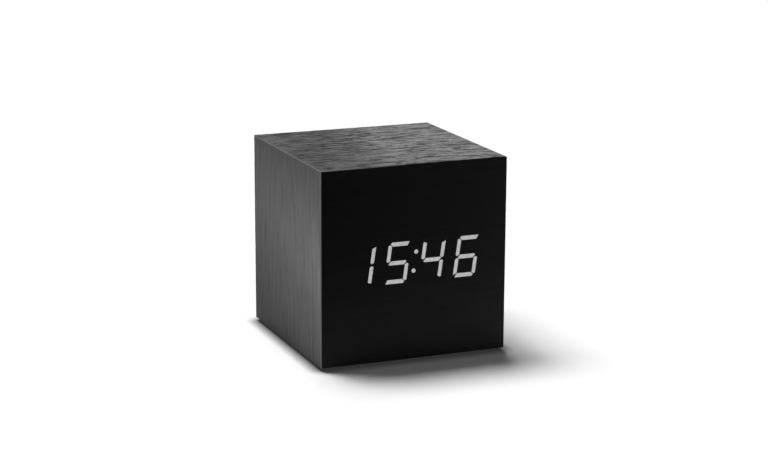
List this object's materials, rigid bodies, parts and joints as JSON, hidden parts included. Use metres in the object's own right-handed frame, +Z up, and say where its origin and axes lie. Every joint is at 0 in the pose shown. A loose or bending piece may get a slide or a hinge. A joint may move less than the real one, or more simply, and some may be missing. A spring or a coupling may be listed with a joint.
{
  "type": "led cube alarm clock",
  "caption": "Black veneered cube clock with slanted light-through numerals on its front, and keys, a sound switch, a power inlet and a hinged battery door at its rear.",
  "frame": {"origin": "middle of the cube's footprint, on the plane its feet stand on", "axes": "+X to the right seen from the front, +Y to the rear, +Z up; the numerals face -Y"},
  "size_m": [0.068, 0.068, 0.069],
  "materials": {
    "stained_oak": "black-stained open-pore veneer, satin",
    "black_veneer": "near-black veneer, matt",
    "fibreboard": "raw fibreboard",
    "pine": "sawn softwood",
    "rubber": "matt moulded rubber",
    "lit_lens": "white light through the veneer",
    "dark_lens": "veneer with no light behind it",
    "diffuser": "frosted film",
    "white_plastic": "moulded white",
    "black_plastic": "fine moulded texture",
    "circuit_board": "green solder mask",
    "black_resin": "cured resin drop",
    "cream_plastic": "moulded natural nylon",
    "grey_plastic": "plain grey insulation",
    "red_plastic": "red wire insulation",
    "zinc_steel": "zinc plated",
    "nickel_steel": "nickel plated",
    "aluminium_can": "drawn can with a plastic sleeve"
  },
  "bodies": {
    "case": {"veneer_wrap": "stained_oak", "top_board": "fibreboard", "base_board": "fibreboard", "left_board": "fibreboard", "right_board": "fibreboard", "front_panel": "fibreboard", "front_veneer": "black_veneer", "corner_blocks": "pine", "rubber_feet": "rubber", "diffuser_film": "diffuser", "lit_windows": "lit_lens", "unlit_windows": "dark_lens", "reflector_shell": "white_plastic", "display_board": "circuit_board", "light_chips": "cream_plastic", "display_screws": "zinc_steel", "controller_blob": "black_resin", "crystal": "zinc_steel", "coin_cell_holder": "black_plastic", "coin_cell": "zinc_steel", "filter_capacitor": "aluminium_can", "display_connector": "cream_plastic", "ribbon_cable": "grey_plastic", "rear_cover": "black_plastic", "rear_screws": "zinc_steel", "key_board": "circuit_board", "key_board_screws": "zinc_steel", "key_switches": "black_plastic", "sound_switch": "nickel_steel", "power_inlet": "black_plastic", "inlet_pin": "nickel_steel", "microphone": "aluminium_can", "temperature_sensor": "black_resin", "buzzer": "black_plastic", "key_connector": "cream_plastic", "upper_cell": "aluminium_can", "middle_cell": "aluminium_can", "lower_cell": "aluminium_can", "contact_plates": "nickel_steel", "contact_springs": "nickel_steel", "positive_wire": "red_plastic", "negative_wire": "black_plastic"},
    "set_button": {"set_key": "black_plastic", "set_stem": "cream_plastic"},
    "up_button": {"up_key": "black_plastic", "up_stem": "cream_plastic"},
    "down_button": {"down_key": "black_plastic", "down_stem": "cream_plastic"},
    "sound_lever": {"sound_knob": "white_plastic"},
    "battery_lid": {"battery_door": "black_plastic"}
  },
  "joints": [
    {"name": "set_press", "type": "slide", "parent": "case", "child": "set_button", "axis": [0, -1, 0], "range_m": [0, 0.0005], "stiffness_N_per_m": 3000},
    {"name": "up_press", "type": "slide", "parent": "case", "child": "up_button", "axis": [0, -1, 0], "range_m": [0, 0.0005], "stiffness_N_per_m": 3000},
    {"name": "down_press", "type": "slide", "parent": "case", "child": "down_button", "axis": [0, -1, 0], "range_m": [0, 0.0005], "stiffness_N_per_m": 3000},
    {"name": "sound_slide", "type": "slide", "parent": "case", "child": "sound_lever", "axis": [1, 0, 0], "range_m": [0, 0.002]},
    {"name": "door_hinge", "type": "hinge", "parent": "case", "child": "battery_lid", "pos_m": [0, 0.0311, 0.0139], "axis": [-1, 0, 0], "range_deg": [0, 90]}
  ]
}
